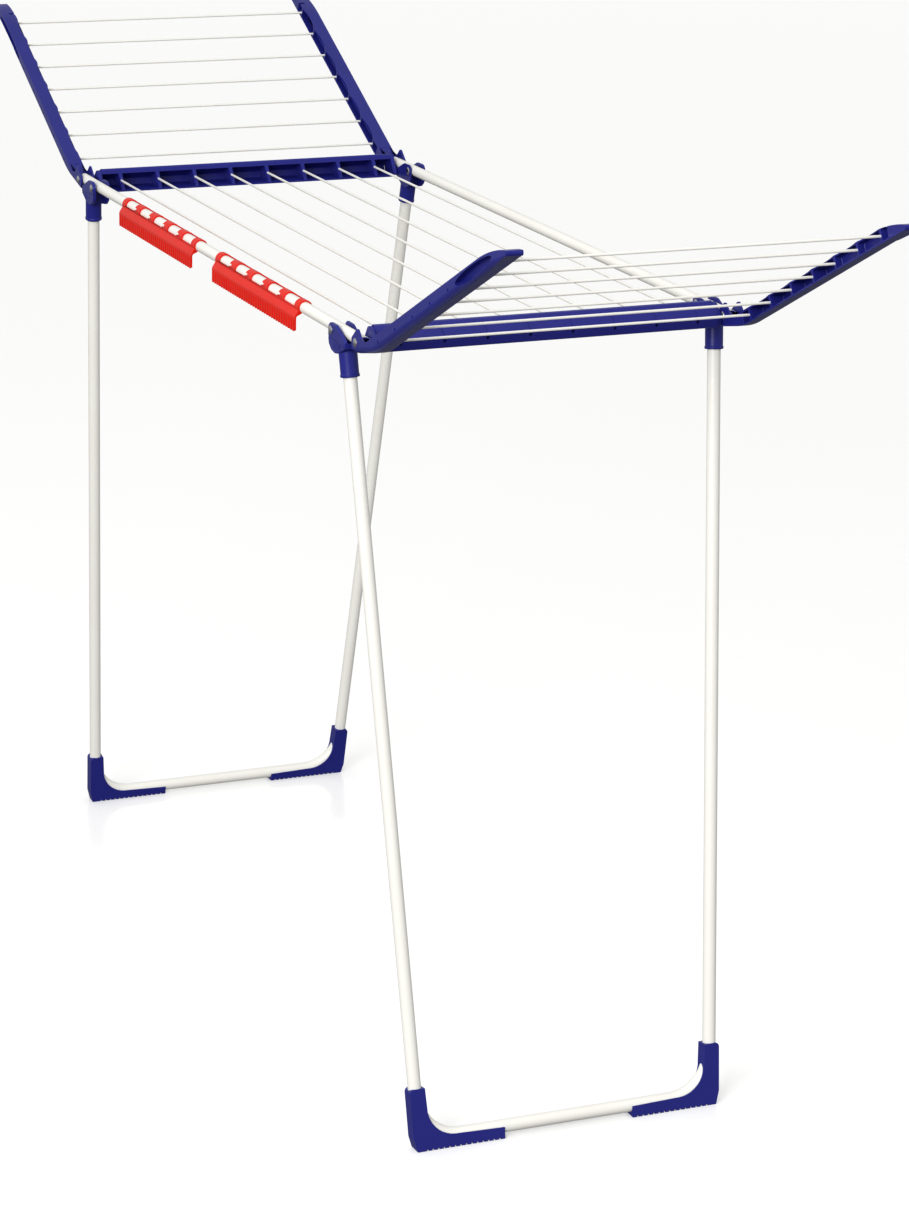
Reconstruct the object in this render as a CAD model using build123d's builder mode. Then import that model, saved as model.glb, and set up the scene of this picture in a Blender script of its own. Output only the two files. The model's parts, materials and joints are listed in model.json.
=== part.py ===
from build123d import *
import os
from math import atan, cos, degrees, hypot, radians, sin

# Folding clothes drying rack with two tilting wings, all sizes in millimetres.
# Origin: centre of the footprint on the floor. +X runs along the rack towards its near end,
# +Y across it and +Z up. The near-left corner (x > 0, y < 0) is modelled once and mirrored
# to the other three corners.

# ---- driving dimensions -------------------------------------------------------------------
# tubes and wires
LEG_D = 18.0
RAIL_D = 16.0
TUBE_WALL = 0.8
WIRE_D = 3.6

# main drying frame
RAIL_Z = 1070.0          # height of the rail axes and of the main wires
RAIL_Y = 259.0           # rail axis to the rack's centre plane
RAIL_END_X = 595.0
MAIN_WIRES = 8
MAIN_PITCH = 60.0
MAIN_WIRE_END_X = 584.0

# legs: two U-shaped tubes, splayed outwards and narrower at the foot
MOUTH_X = 547.0          # leg axis where the tube leaves its hinge head
MOUTH_Z = 1015.0
MOUTH_Y = 260.0
FOOT_OUT = 166.0         # the foot stands this much further out than the mouth
FOOT_IN = 46.0           # and this much nearer the centre plane on each side
FOOT_Z = 13.0            # axis of the foot bar above the floor
LEG_BEND_R = 62.0
SOCKET_DEPTH = 32.0
SLEEVE_LENGTH = 40.0
SPLAY = degrees(atan(FOOT_OUT / (MOUTH_Z - FOOT_Z)))
LEG_LENGTH = hypot(FOOT_OUT, MOUTH_Z - FOOT_Z)

# hinge heads of the legs
LEG_PIVOT_X = 512.0
HEAD_IN_Y = 247.8
HEAD_OUT_Y = 272.2
HEAD_CHEEK = 2.7
SLEEVE_R = 12.2

# wings: seven wires between two arms
WING_PIVOT_X = 590.0
WING_TILT = 26.8
WING_WIRES = 7
WING_PITCH = 61.6
WING_X = 667.0           # first wing wire
WING_Z = 1087.5
WING_WIRE_END_Y = 256.0
ARM_IN_Y = 248.0
ARM_OUT_Y = 270.5
ARM_WALL = 2.6
ARM_TOP = 10.5           # above the wires, square to the wing
ARM_BOTTOM = -9.0
ARM_TIP = 431.0
ARM_BASE_R = 14.0
ARM_BASE_SLOPE = 12.4    # degrees, the base's underside rises towards the elbow
ELBOW_R = 140.0          # round of the arm's lower edge where it leaves the base
WING_RIB = 5.0           # ribs that hold the wires
GRIP_START = 270.0       # finger recess in the arm's outer face
GRIP_END = 388.0
GRIP_HEIGHT = 14.0
GRIP_DEPTH = 10.0
GRIP_ABOVE = 1.0
DOT_R = 2.3              # small holes over the wire ends
DOTS = 5

# crossbars: hood-shaped channels open to the inside
BAR_END_Y = 240.0
BAR_WALL = 2.4
BAR_FILLET = 2.5
BAR_HOLE_R = 2.6
RIB = 6.0

# corner brackets: an end plate for the crossbar and a saddle under the rail
BRACKET_PLATE = 6.2
SADDLE_X = 566.9
SADDLE_LENGTH = 5.0
SADDLE_BOTTOM = 1056.0
SADDLE_TOP = 1069.0
SADDLE_WIDTH = 20.0

# rivets
RIVET_R = 3.0
RIVET_PLAY = 0.06
RIVET_HEAD_R = 6.0
RIVET_HEAD = 2.0
RIVET_INNER_HEAD = 1.4
RIVET_FLOAT = 0.1        # gap between a head and the cheek under it

# small-item holders on the left rail
HOLDER_LENGTH = 332.0
HOLDER_STARTS = {"far": -374.0, "near": 48.0}
HOLDER_WALL = 2.0
HOLDER_PLAY = 0.25
HOLDER_WINDOWS = 5
HOLDER_BAND = 24.0
HOLDER_END_BAND = 4.0

# foot shoes
SHOE_WIDTH = 20.6
SHOE_TEETH = 14
TOOTH_PITCH = 8.0
TOOTH_START = 102.0
GROOVE_WIDTH = 2.4
GROOVE_DEPTH = 2.0

LEFT, RIGHT = -1, 1
SIDES = {"left": LEFT, "right": RIGHT}
ENDS = {"near": 1, "far": -1}

os.makedirs("parts", exist_ok=True)


def save(piece, name):
    """Label a finished piece and write it as one STEP file."""
    piece.label = name
    export_step(piece, f"parts/{name}.step")


def save_corners(piece, name, ends=ENDS, sides=SIDES):
    """Write the near-left piece and its mirror images at the named ends and sides."""
    for end, end_sign in ends.items():
        for side, side_sign in sides.items():
            with BuildPart() as corner:
                add(piece)
                if end_sign < 0:
                    mirror(about=Plane.YZ, mode=Mode.REPLACE)
                if side_sign > 0:
                    mirror(about=Plane.XZ, mode=Mode.REPLACE)
            save(corner.part, f"{end}_{name}_{side}")


def wing_point(along, above):
    """Point (x, z) at a distance along the near wing and above its wires."""
    tilt = radians(WING_TILT)
    x = WING_X + along * cos(tilt) - above * sin(tilt)
    z = WING_Z + along * sin(tilt) + above * cos(tilt)
    return (x, z)


def left_plane(y):
    """Upright plane at -y whose normal points out of the rack's left side."""
    return Plane.XZ.offset(y)


# ---- side rails ---------------------------------------------------------------------------
for side, sign in SIDES.items():
    with BuildPart() as rail:
        with BuildSketch(Plane.YZ):
            with Locations((sign * RAIL_Y, RAIL_Z)):
                Circle(RAIL_D / 2)
                Circle(RAIL_D / 2 - TUBE_WALL, mode=Mode.SUBTRACT)
        extrude(amount=RAIL_END_X, both=True)
        pivots = [LEG_PIVOT_X, WING_PIVOT_X, -LEG_PIVOT_X, -WING_PIVOT_X]
        with Locations([(x, sign * RAIL_Y, RAIL_Z) for x in pivots]):
            Cylinder(RIVET_R, RAIL_D + 2, rotation=(90, 0, 0), mode=Mode.SUBTRACT)
    save(rail.part, f"side_rail_{side}")

# plastic plugs that close the four rail ends
PLUG_R = RAIL_D / 2 - 0.5
PLUG_HEAD = 1.8
PLUG_SHANK = 1.5
with BuildPart() as rail_plugs:
    for x_sign in ENDS.values():
        for y_sign in SIDES.values():
            rail_end = (x_sign * RAIL_END_X, y_sign * RAIL_Y, RAIL_Z)
            rail_mouth = Plane(origin=rail_end, z_dir=(x_sign, 0, 0))
            with BuildSketch(rail_mouth):
                Circle(PLUG_R)
            extrude(amount=PLUG_HEAD)
            with BuildSketch(rail_mouth):
                Circle(RAIL_D / 2 - TUBE_WALL)
            extrude(amount=-PLUG_SHANK)
save(rail_plugs.part, "rail_end_plugs")

# ---- crossbars ----------------------------------------------------------------------------
# hood section, from the inner lip over the ridge and down the outside to the bottom edge
hood = [(567.0, 1080.0), (569.0, 1088.0), (576.0, 1087.0), (597.0, 1068.0), (593.0, 1055.0),
        (548.0, 1055.0)]
rib_outline = [(567.5, 1082.0), (571.0, 1086.0), (577.0, 1084.5), (594.5, 1068.5), (591.5, 1056.5),
               (550.0, 1056.5), (561.0, 1072.0)]
wire_ys = [(index - (MAIN_WIRES - 1) / 2) * MAIN_PITCH for index in range(MAIN_WIRES)]

with BuildPart() as crossbar:
    with BuildSketch(Plane.XZ):
        with BuildLine():
            FilletPolyline(*hood, radius=BAR_FILLET)
            offset(amount=BAR_WALL, side=Side.RIGHT)
        make_face()
    extrude(amount=BAR_END_Y, both=True)
    for wire_y in wire_ys:
        with BuildSketch(Plane.XZ.offset(-wire_y)):
            with BuildLine():
                Polyline(*rib_outline, close=True)
            make_face()
        extrude(amount=RIB / 2, both=True)
    # bores for the wires, and the small holes over their ends in the outer wall
    with Locations([(MAIN_WIRE_END_X - 15, wire_y, RAIL_Z) for wire_y in wire_ys]):
        Cylinder(WIRE_D / 2, 30, rotation=(0, 90, 0), mode=Mode.SUBTRACT)
    with Locations([(MAIN_WIRE_END_X + 10, wire_y, RAIL_Z) for wire_y in wire_ys]):
        Cylinder(BAR_HOLE_R, 20, rotation=(0, 90, 0), mode=Mode.SUBTRACT)
save(crossbar.part, "crossbar_near")

with BuildPart() as crossbar_far:
    mirror(crossbar.part, about=Plane.YZ)
save(crossbar_far.part, "crossbar_far")

# bracket that closes a crossbar's end and carries the rail in a saddle
with BuildPart() as bracket:
    with BuildSketch(left_plane(BAR_END_Y)):
        with BuildLine():
            Polyline(*rib_outline, close=True)
        make_face()
    extrude(amount=BRACKET_PLATE)
    with BuildSketch(left_plane(BAR_END_Y + BRACKET_PLATE)):
        with Locations((SADDLE_X, (SADDLE_TOP + SADDLE_BOTTOM) / 2)):
            Rectangle(SADDLE_LENGTH, SADDLE_TOP - SADDLE_BOTTOM)
    extrude(amount=SADDLE_WIDTH)
    with Locations((SADDLE_X, -RAIL_Y, RAIL_Z)):
        Cylinder(RAIL_D / 2, 2 * SADDLE_LENGTH, rotation=(0, 90, 0), mode=Mode.SUBTRACT)
save_corners(bracket.part, "corner_bracket")

# ---- main wires ---------------------------------------------------------------------------
for number, wire_y in enumerate(wire_ys, start=1):
    with BuildPart() as main_wire:
        with BuildSketch(Plane.YZ):
            with Locations((wire_y, RAIL_Z)):
                Circle(WIRE_D / 2)
        extrude(amount=MAIN_WIRE_END_X, both=True)
    save(main_wire.part, f"main_wire_{number}")

# ---- legs ---------------------------------------------------------------------------------
# plane of the near leg: local x is across the rack, local y runs up the splayed leg
foot_centre = (MOUTH_X + FOOT_OUT, 0, FOOT_Z)
leg_outward = (cos(radians(SPLAY)), 0, sin(radians(SPLAY)))
leg_plane = Plane(origin=foot_centre, x_dir=(0, 1, 0), z_dir=leg_outward)
foot_y = MOUTH_Y - FOOT_IN
top_reach = 1 + SOCKET_DEPTH / hypot(LEG_LENGTH, FOOT_IN)
leg_top = (foot_y + FOOT_IN * top_reach, LEG_LENGTH * top_reach)
leg_route = [(-leg_top[0], leg_top[1]), (-foot_y, 0), (foot_y, 0), leg_top]

with BuildPart() as leg_tube:
    with BuildLine(leg_plane) as leg_line:
        FilletPolyline(*leg_route, radius=LEG_BEND_R)
    with BuildSketch(Plane(origin=leg_line.line @ 0, z_dir=leg_line.line % 0)):
        Circle(LEG_D / 2)
        Circle(LEG_D / 2 - TUBE_WALL, mode=Mode.SUBTRACT)
    sweep()
save(leg_tube.part, "near_leg_tube")

with BuildPart() as far_leg_tube:
    mirror(leg_tube.part, about=Plane.YZ)
save(far_leg_tube.part, "far_leg_tube")

# hinge head: a sleeve for the tube, with two cheeks that straddle the rail
foot_corner = Vector(MOUTH_X + FOOT_OUT, -foot_y, FOOT_Z)
mouth = Vector(MOUTH_X, -MOUTH_Y, MOUTH_Z)
mouth_plane = Plane(origin=mouth, z_dir=mouth - foot_corner)
# side outline from the top of the cheek over the sloping hood and back under the pivot
HEAD_CHEEK_R = 10.0
head_outline = [(0, 10), (17, 9.7), (50, -5), (50, -15), (30, -25), (14, -28), (2, -26), (-7.5, -19),
                (-9.3, -12), (-9.8, -2)]
# room for the rail between the cheeks, at rest and with the leg folded
rail_room = [(490, 1090), (570, 1090), (570, 1061.4), (527.5, 1061.4), (526, 1030), (490, 1030)]
rail_room_width = HEAD_OUT_Y - HEAD_IN_Y - 2 * HEAD_CHEEK - 1.6

with BuildPart() as head:
    with BuildSketch(left_plane(HEAD_IN_Y)):
        with BuildLine():
            Polyline(*[(LEG_PIVOT_X + x, RAIL_Z + z) for x, z in head_outline], close=True)
        make_face()
        with Locations((LEG_PIVOT_X, RAIL_Z)):
            Circle(HEAD_CHEEK_R)
    extrude(amount=HEAD_OUT_Y - HEAD_IN_Y)
    with BuildSketch(mouth_plane):
        Circle(SLEEVE_R)
    extrude(amount=SLEEVE_LENGTH)
    with BuildSketch(mouth_plane):
        Circle(LEG_D / 2)
    extrude(amount=SOCKET_DEPTH, mode=Mode.SUBTRACT)
    with BuildSketch(left_plane(HEAD_IN_Y + HEAD_CHEEK)):
        with BuildLine():
            Polyline(*rail_room, close=True)
        make_face()
    extrude(amount=rail_room_width, mode=Mode.SUBTRACT)
    with Locations((LEG_PIVOT_X, -MOUTH_Y, RAIL_Z)):
        Cylinder(RIVET_R + RIVET_PLAY, 40, rotation=(90, 0, 0), mode=Mode.SUBTRACT)
save_corners(head.part, "leg_head")

# shoe: wraps the outside and the underside of the bend, with a grooved flat sole
shoe_outside = [(-206, 71), (-227.8, 71), (-225.2, 4), (-216, -30), (-94, -30), (-94, 1)]
with BuildPart() as shoe:
    with BuildSketch(leg_plane):
        with BuildLine():
            Polyline(*shoe_outside)
            Line(shoe_outside[-1], (-166, 3))
            ThreePointArc((-166, 3), (-194, 17), (-204, 44))
            Line((-204, 44), shoe_outside[0])
        make_face()
    extrude(amount=SHOE_WIDTH / 2, both=True)
    with Locations((foot_centre[0], 0, -50)):
        Box(300, 600, 100, mode=Mode.SUBTRACT)
    with BuildSketch(Plane(origin=leg_line.line @ 0, z_dir=leg_line.line % 0)):
        Circle(LEG_D / 2)
    sweep(path=leg_line.line, mode=Mode.SUBTRACT)
    groove_ys = [-TOOTH_START - TOOTH_PITCH * tooth for tooth in range(SHOE_TEETH)]
    with Locations([(foot_centre[0], groove_y, 0) for groove_y in groove_ys]):
        Box(60, GROOVE_WIDTH, 2 * GROOVE_DEPTH, mode=Mode.SUBTRACT)
save_corners(shoe.part, "foot_shoe")

# ---- wing arms ----------------------------------------------------------------------------
# side outline in world x and z: a round base about the pivot with a pointed ear, an elbow,
# then a straight arm that ends in a tapered tip
along_wing = (cos(radians(WING_TILT)), sin(radians(WING_TILT)))
along_base = (cos(radians(ARM_BASE_SLOPE)), sin(radians(ARM_BASE_SLOPE)))
base_bottom = (WING_PIVOT_X + ARM_BASE_R * along_base[1], RAIL_Z - ARM_BASE_R * along_base[0])
# the elbow is where the base's underside meets the line of the arm's lower edge
arm_line = wing_point(0, ARM_BOTTOM)
line_gap = (arm_line[0] - base_bottom[0], arm_line[1] - base_bottom[1])
elbow_sine = sin(radians(WING_TILT - ARM_BASE_SLOPE))
base_reach = (line_gap[0] * along_wing[1] - line_gap[1] * along_wing[0]) / elbow_sine
elbow = (base_bottom[0] + base_reach * along_base[0], base_bottom[1] + base_reach * along_base[1])
ear_outline = ((17, 9.5), (10, 16.4), (4, 18.8), (-3, 15.5), (-12.5, 6), (-12.5, -6))
ear = [(WING_PIVOT_X + x, RAIL_Z + z) for x, z in ear_outline]
tip_start = wing_point(ARM_TIP - 6, ARM_BOTTOM)
tip_shoulder = wing_point(ARM_TIP - 4, -1.5)
taper_start = wing_point(346, ARM_TOP)
neck = wing_point(-44, ARM_TOP)

# pockets between the ribs that hold the wires
rib_alongs = [number * WING_PITCH for number in range(WING_WIRES)]
pocket_ends = [-20.0] + rib_alongs + [ARM_TIP - 43]
pocket_height = ARM_TOP - ARM_BOTTOM - 2 * ARM_WALL
# room for the rail's end in the clevis, open at the top
clevis_floor = [(560, 1058.9), (594, 1058.9), (601.5, 1064), (607, 1068.5), (640, 1085.2)]
clevis_room = clevis_floor + [(640, 1110), (560, 1110)]
web_y = ARM_OUT_Y - ARM_WALL - 0.3

with BuildPart() as arm:
    with BuildSketch(left_plane(ARM_IN_Y)):
        with BuildLine():
            FilletPolyline(base_bottom, elbow, tip_start, radius=ELBOW_R)
            ThreePointArc(tip_start, wing_point(ARM_TIP, -5.0), tip_shoulder)
            ThreePointArc(tip_shoulder, wing_point(390, 7.0), taper_start)
            Line(taper_start, neck)
            Polyline(neck, *ear, base_bottom)
        make_face()
        with Locations((WING_PIVOT_X, RAIL_Z)):
            Circle(ARM_BASE_R)
    extrude(amount=ARM_OUT_Y - ARM_IN_Y)
    # clevis: the rail's end stands between two cheeks
    with BuildSketch(left_plane(ARM_IN_Y + ARM_WALL)):
        with BuildLine():
            Polyline(*clevis_room, close=True)
        make_face()
    extrude(amount=web_y - ARM_IN_Y - ARM_WALL, mode=Mode.SUBTRACT)
    # pockets, deep along the arm and shallow behind the finger recess
    for first, last in zip(pocket_ends, pocket_ends[1:]):
        start = first + (WING_RIB / 2 if first >= 0 else 0)
        end = last - (WING_RIB / 2 if last in rib_alongs else 0)
        floor_y = web_y if end <= GRIP_START else ARM_OUT_Y - GRIP_DEPTH - ARM_WALL
        with BuildSketch(left_plane(ARM_IN_Y)):
            with Locations(wing_point((start + end) / 2, (ARM_TOP + ARM_BOTTOM) / 2)):
                Rectangle(end - start, pocket_height, rotation=WING_TILT)
        extrude(amount=floor_y - ARM_IN_Y, mode=Mode.SUBTRACT)
    # finger recess in the outer face
    with BuildSketch(left_plane(ARM_OUT_Y)):
        with Locations(wing_point((GRIP_START + GRIP_END) / 2, GRIP_ABOVE)):
            SlotOverall(GRIP_END - GRIP_START, GRIP_HEIGHT, rotation=WING_TILT)
    extrude(amount=-GRIP_DEPTH, mode=Mode.SUBTRACT)
    # wire holes in the ribs, and the small holes over the wire ends in the outer face
    hole_points = [wing_point(along, 0) for along in rib_alongs]
    with Locations([(x, -(WING_WIRE_END_Y + ARM_IN_Y) / 2, z) for x, z in hole_points]):
        Cylinder(WIRE_D / 2, WING_WIRE_END_Y - ARM_IN_Y, rotation=(90, 0, 0), mode=Mode.SUBTRACT)
    with Locations([(x, -ARM_OUT_Y, z) for x, z in hole_points[:DOTS]]):
        Cylinder(DOT_R, 8, rotation=(90, 0, 0), mode=Mode.SUBTRACT)
    with Locations((WING_PIVOT_X, -RAIL_Y, RAIL_Z)):
        Cylinder(RIVET_R + RIVET_PLAY, 40, rotation=(90, 0, 0), mode=Mode.SUBTRACT)
save_corners(arm.part, "wing_arm")

# ---- wing wires ---------------------------------------------------------------------------
for end, end_sign in ENDS.items():
    for number, along in enumerate(rib_alongs, start=1):
        x, z = wing_point(along, 0)
        with BuildPart() as wing_wire:
            with BuildSketch(Plane.XZ):
                with Locations((end_sign * x, z)):
                    Circle(WIRE_D / 2)
            extrude(amount=WING_WIRE_END_Y, both=True)
        save(wing_wire.part, f"{end}_wing_wire_{number}")

# ---- rivets -------------------------------------------------------------------------------
def rivet(pivot_x, inner_y, outer_y):
    """Rivet along y through the rail's end, with a low dome on each end."""
    inner_top = inner_y - RIVET_INNER_HEAD
    outer_top = outer_y + RIVET_HEAD
    profile = [(0, inner_top), (4.0, inner_top), (RIVET_HEAD_R, inner_y), (RIVET_R, inner_y),
               (RIVET_R, outer_y), (RIVET_HEAD_R, outer_y), (4.6, outer_top), (0, outer_top)]
    with BuildPart() as pin:
        with BuildSketch(Plane.XY):
            with BuildLine():
                Polyline(*profile, close=True)
            make_face()
        revolve(axis=Axis.Y)
    return Pos(pivot_x, 0, RAIL_Z) * pin.part.mirror(Plane.XZ)


rivet_sets = {
    "leg_pivot_rivets": rivet(LEG_PIVOT_X, HEAD_IN_Y - RIVET_FLOAT, HEAD_OUT_Y + RIVET_FLOAT),
    "wing_pivot_rivets": rivet(WING_PIVOT_X, ARM_IN_Y - RIVET_FLOAT, ARM_OUT_Y + RIVET_FLOAT),
}
for name, left_rivet in rivet_sets.items():
    with BuildPart() as near_rivets:
        add(left_rivet)
        mirror(about=Plane.XZ)
    save(near_rivets.part, f"near_{name}")
    with BuildPart() as far_rivets:
        mirror(near_rivets.part, about=Plane.YZ)
    save(far_rivets.part, f"far_{name}")

# ---- small-item holders -------------------------------------------------------------------
ring_in = RAIL_D / 2 + HOLDER_PLAY
ring_out = ring_in + HOLDER_WALL
PLATE_OUT_Y = 274.0
PLATE_TOP = 1060.0
PLATE_BOTTOM = 1040.5
PLATE_WALL = 2.2
plate_in_y = PLATE_OUT_Y - PLATE_WALL
# skirt from the ring to the plate, then the hanging plate itself
skirt = [(-262, 1061), (-268.5, 1067), (-PLATE_OUT_Y, PLATE_TOP), (-PLATE_OUT_Y, PLATE_BOTTOM),
         (-plate_in_y, PLATE_BOTTOM), (-plate_in_y, PLATE_TOP - 1), (-264, 1062.5)]
# the ring is open towards the inner lower side, so that it snaps on
ring_mouth = [(-RAIL_Y, RAIL_Z), (-RAIL_Y + 14, RAIL_Z - 3), (-RAIL_Y + 14, RAIL_Z - 20),
              (-RAIL_Y - 1.5, RAIL_Z - 20)]
window_pitch = (HOLDER_LENGTH - 2 * HOLDER_END_BAND) / HOLDER_WINDOWS

for end, start_x in HOLDER_STARTS.items():
    with BuildPart() as holder:
        with BuildSketch(Plane.YZ.offset(start_x)):
            with Locations((-RAIL_Y, RAIL_Z)):
                Circle(ring_out)
            with BuildLine():
                Polyline(*skirt, close=True)
            make_face()
            with Locations((-RAIL_Y, RAIL_Z)):
                Circle(ring_in, mode=Mode.SUBTRACT)
            with BuildLine():
                Polyline(*ring_mouth, close=True)
            make_face(mode=Mode.SUBTRACT)
        extrude(amount=HOLDER_LENGTH)
        first_x = start_x + HOLDER_END_BAND + window_pitch / 2
        centres = [first_x + window_pitch * window for window in range(HOLDER_WINDOWS)]
        with Locations([(x, -RAIL_Y - 5.0, RAIL_Z + 6.5) for x in centres]):
            Box(window_pitch - HOLDER_BAND, 17.0, 13.0, mode=Mode.SUBTRACT)
    save(holder.part, f"small_item_holder_{end}")
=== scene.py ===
import json
from math import atan2, cos, pi, radians, sin, tan

import bpy
from mathutils import Matrix, Vector


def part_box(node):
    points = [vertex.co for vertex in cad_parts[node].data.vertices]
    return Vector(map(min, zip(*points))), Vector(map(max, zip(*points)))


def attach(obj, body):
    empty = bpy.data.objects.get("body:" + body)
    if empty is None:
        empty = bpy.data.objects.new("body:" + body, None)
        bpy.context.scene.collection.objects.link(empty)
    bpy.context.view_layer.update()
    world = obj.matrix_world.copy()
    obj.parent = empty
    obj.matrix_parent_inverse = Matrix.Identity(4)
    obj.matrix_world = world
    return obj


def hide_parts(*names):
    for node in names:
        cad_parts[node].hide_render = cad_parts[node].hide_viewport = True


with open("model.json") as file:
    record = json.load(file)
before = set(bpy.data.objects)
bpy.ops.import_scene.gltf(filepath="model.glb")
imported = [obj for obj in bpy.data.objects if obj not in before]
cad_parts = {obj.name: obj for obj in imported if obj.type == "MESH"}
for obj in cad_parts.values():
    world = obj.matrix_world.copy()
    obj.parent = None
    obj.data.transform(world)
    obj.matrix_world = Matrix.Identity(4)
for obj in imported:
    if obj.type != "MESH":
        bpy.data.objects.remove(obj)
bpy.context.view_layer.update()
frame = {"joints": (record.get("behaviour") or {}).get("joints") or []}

bl_info = {
    "name": "Folding Clothes Drying Rack",
    "version": (1, 0, 0),
    "blender": (4, 5, 0),
    "location": "View3D > Sidebar > Drying Rack",
    "description": "Models the pieces of a folding drying rack around its frame",
    "category": "Object",
}

# Sizes and places are in millimetres, as on a workshop drawing; the modelling steps turn
# them to metres. The near-left corner is modelled once and mirrored to the others.
MM = 0.001
ENDS = {"near": 1, "far": -1}
SIDES = {"left": -1, "right": 1}
Y_AXIS = Vector((0, 1, 0))
X_AXIS = Vector((1, 0, 0))


# ---- places on the frame ------------------------------------------------------------------
def node_box(name):
    """Lowest and highest corner of a frame node, in millimetres."""
    low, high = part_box(name)
    return Vector(low) / MM, Vector(high) / MM


def node_centre(name):
    """Middle of a frame node's box."""
    low, high = node_box(name)
    return (low + high) / 2


def joint_place(name):
    """Point on a joint's axis."""
    return next(Vector(joint["pos_m"]) / MM for joint in frame["joints"] if joint["name"] == name)


FIRST_WIRE = node_centre("near_wing_wire_1")
WING_RUN = node_centre("near_wing_wire_7") - FIRST_WIRE
ALONG = WING_RUN.normalized()
TILT = atan2(ALONG.z, ALONG.x)
ABOVE = Vector((-sin(TILT), 0, cos(TILT)))
WING_PITCH = WING_RUN.length / 6
WING_WIRES = 7
WING_PIVOT = joint_place("near_wing_fold")
LEG_PIVOT = joint_place("near_leg_fold")
RAIL_LOW, RAIL_HIGH = node_box("side_rail_left")
RAIL_R = (RAIL_HIGH.z - RAIL_LOW.z) / 2
RAIL_Y = -(RAIL_LOW.y + RAIL_HIGH.y) / 2
RAIL_Z = (RAIL_LOW.z + RAIL_HIGH.z) / 2
ARM_OUT = -node_box("near_wing_arm_left")[0].y
ARM_IN = -node_box("near_wing_arm_left")[1].y
HEAD_OUT = -node_box("near_leg_head_left")[0].y
BAR_END = node_box("crossbar_near")[1].y
FOOT_R = 9.0


def wing(along, above, y=0.0):
    """Point of the near wing, along it from its first wire and above its wires."""
    point = FIRST_WIRE + ALONG * along + ABOVE * above
    return Vector((point.x, y, point.z))


# ---- modelling steps ----------------------------------------------------------------------
def start_clean():
    """Leave edit mode and deselect everything."""
    if bpy.context.object and bpy.context.object.mode != "OBJECT":
        bpy.ops.object.mode_set(mode="OBJECT")
    bpy.ops.object.select_all(action="DESELECT")


def make_active(piece):
    """Select one object and make it the active one."""
    start_clean()
    piece.select_set(True)
    bpy.context.view_layer.objects.active = piece


def settle(name):
    """Name the new primitive and put its place into its mesh."""
    piece = bpy.context.object
    piece.name = piece.data.name = name
    bpy.ops.object.transform_apply(location=True, rotation=True, scale=True)
    return piece


def face_out(piece, merge=0.001):
    """Merge doubled vertices and turn all faces of a closed piece outwards."""
    make_active(piece)
    bpy.ops.object.mode_set(mode="EDIT")
    bpy.ops.mesh.select_all(action="SELECT")
    bpy.ops.mesh.remove_doubles(threshold=merge * MM)
    bpy.ops.mesh.normals_make_consistent(inside=False)
    bpy.ops.object.mode_set(mode="OBJECT")
    return piece


def draw(name, corners, filled=True):
    """Extrude one vertex through the corners of an outline, and fill it."""
    start_clean()
    bpy.ops.mesh.primitive_plane_add(size=MM, location=Vector(corners[0]) * MM)
    piece = settle(name)
    bpy.ops.object.mode_set(mode="EDIT")
    bpy.ops.mesh.select_all(action="SELECT")
    bpy.ops.mesh.merge(type="CENTER")
    for here, there in zip(corners, corners[1:]):
        step = (Vector(there) - Vector(here)) * MM
        bpy.ops.mesh.extrude_region_move(TRANSFORM_OT_translate={"value": step})
    if filled:
        bpy.ops.mesh.select_all(action="SELECT")
        bpy.ops.mesh.edge_face_add()
    bpy.ops.object.mode_set(mode="OBJECT")
    return piece


def pull(piece, *steps):
    """Extrude the whole outline through the steps."""
    make_active(piece)
    bpy.ops.object.mode_set(mode="EDIT")
    bpy.ops.mesh.select_all(action="SELECT")
    for step in steps:
        bpy.ops.mesh.extrude_region_move(TRANSFORM_OT_translate={"value": Vector(step) * MM})
    return face_out(piece)


def solid(name, corners, *steps):
    """Solid from an outline and the steps that it is pulled through."""
    return pull(draw(name, corners), *steps)


def lathe(name, outline, centre, axis, sides=32):
    """Spin an outline of (radius, height) points about an axis."""
    axis = Vector(axis).normalized()
    across = axis.orthogonal().normalized()
    corners = [Vector(centre) + across * radius + axis * height for radius, height in outline]
    piece = draw(name, corners, filled=False)
    make_active(piece)
    bpy.ops.object.mode_set(mode="EDIT")
    bpy.ops.mesh.select_all(action="SELECT")
    bpy.ops.mesh.spin(steps=sides, angle=2 * pi, center=Vector(centre) * MM, axis=axis)
    bpy.ops.object.mode_set(mode="OBJECT")
    return face_out(piece)


def apply_modifier(piece, kind, **settings):
    """Add one modifier with its settings and apply it."""
    make_active(piece)
    bpy.ops.object.modifier_add(type=kind)
    modifier = piece.modifiers[-1]
    for setting, value in settings.items():
        setattr(modifier, setting, value)
    bpy.ops.object.modifier_apply(modifier=modifier.name)
    return piece


def combine(piece, *tools, operation="DIFFERENCE"):
    """Cut the tools out of a piece, or add them to it, and throw the tools away."""
    for tool in tools:
        apply_modifier(piece, "BOOLEAN", operation=operation, solver="EXACT", object=tool)
        bpy.data.objects.remove(tool)
    return piece


def join(name, *pieces):
    """Join meshes into one object."""
    start_clean()
    for piece in pieces:
        piece.select_set(True)
    bpy.context.view_layer.objects.active = pieces[0]
    bpy.ops.object.join()
    pieces[0].name = pieces[0].data.name = name
    return pieces[0]


def repeat(piece, count, step):
    """Row of copies of a piece at an even step, in one mesh."""
    return apply_modifier(piece, "ARRAY", count=count, use_relative_offset=False,
                          use_constant_offset=True, constant_offset_displace=Vector(step) * MM)


def block(name, centre, size, turn=0.0):
    """Box whose x and z sides are turned up by an angle in the side view."""
    start_clean()
    bpy.ops.mesh.primitive_cube_add(size=1, location=Vector(centre) * MM, rotation=(0, -turn, 0),
                                    scale=Vector(size) * MM)
    return settle(name)


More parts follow.
